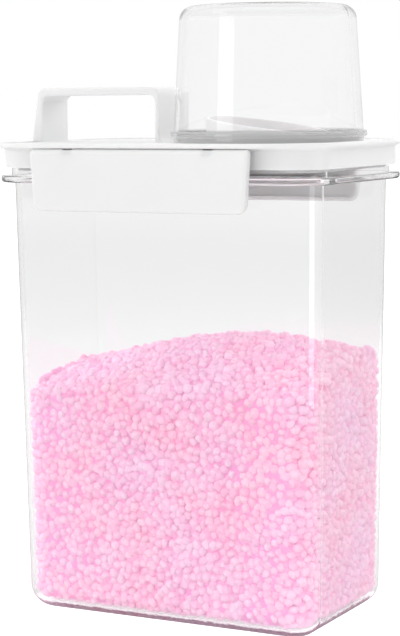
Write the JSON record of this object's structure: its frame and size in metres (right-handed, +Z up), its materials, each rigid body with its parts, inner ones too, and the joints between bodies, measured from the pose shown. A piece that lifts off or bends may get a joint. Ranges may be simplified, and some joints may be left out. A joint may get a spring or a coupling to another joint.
{
  "type": "laundry powder container",
  "caption": "Clear tapered laundry powder tank with a white clip-on lid, loop handle, side latches and a measuring cup over the spout, part filled with pink beads.",
  "frame": {"origin": "middle of the tank's flat base", "axes": "+Z up, +X from the handle to the spout, -Y the front, which has the same latch as the back"},
  "size_m": [0.174, 0.1248, 0.286],
  "materials": {
    "clear_plastic": "polished, see-through",
    "white_plastic": "satin moulded white",
    "silicone": "soft translucent",
    "pink_beads": "waxy pellets"
  },
  "bodies": {
    "container": {"tank": "clear_plastic", "lid": "white_plastic", "gasket": "silicone", "scent_beads": "pink_beads"},
    "front_latch": {"front_latch": "white_plastic"},
    "back_latch": {"back_latch": "white_plastic"},
    "cup": {"measuring_cup": "clear_plastic"}
  },
  "joints": [
    {"name": "front_latch_hinge", "type": "hinge", "parent": "container", "child": "front_latch", "pos_m": [0, -0.05995, 0.219], "axis": [-1, 0, 0], "range_deg": [0, 90]},
    {"name": "back_latch_hinge", "type": "hinge", "parent": "container", "child": "back_latch", "pos_m": [0, 0.05995, 0.219], "axis": [1, 0, 0], "range_deg": [0, 90]},
    {"name": "cup_lift", "type": "slide", "parent": "container", "child": "cup", "axis": [0, 0, 1], "range_m": [0, 0.015]}
  ]
}
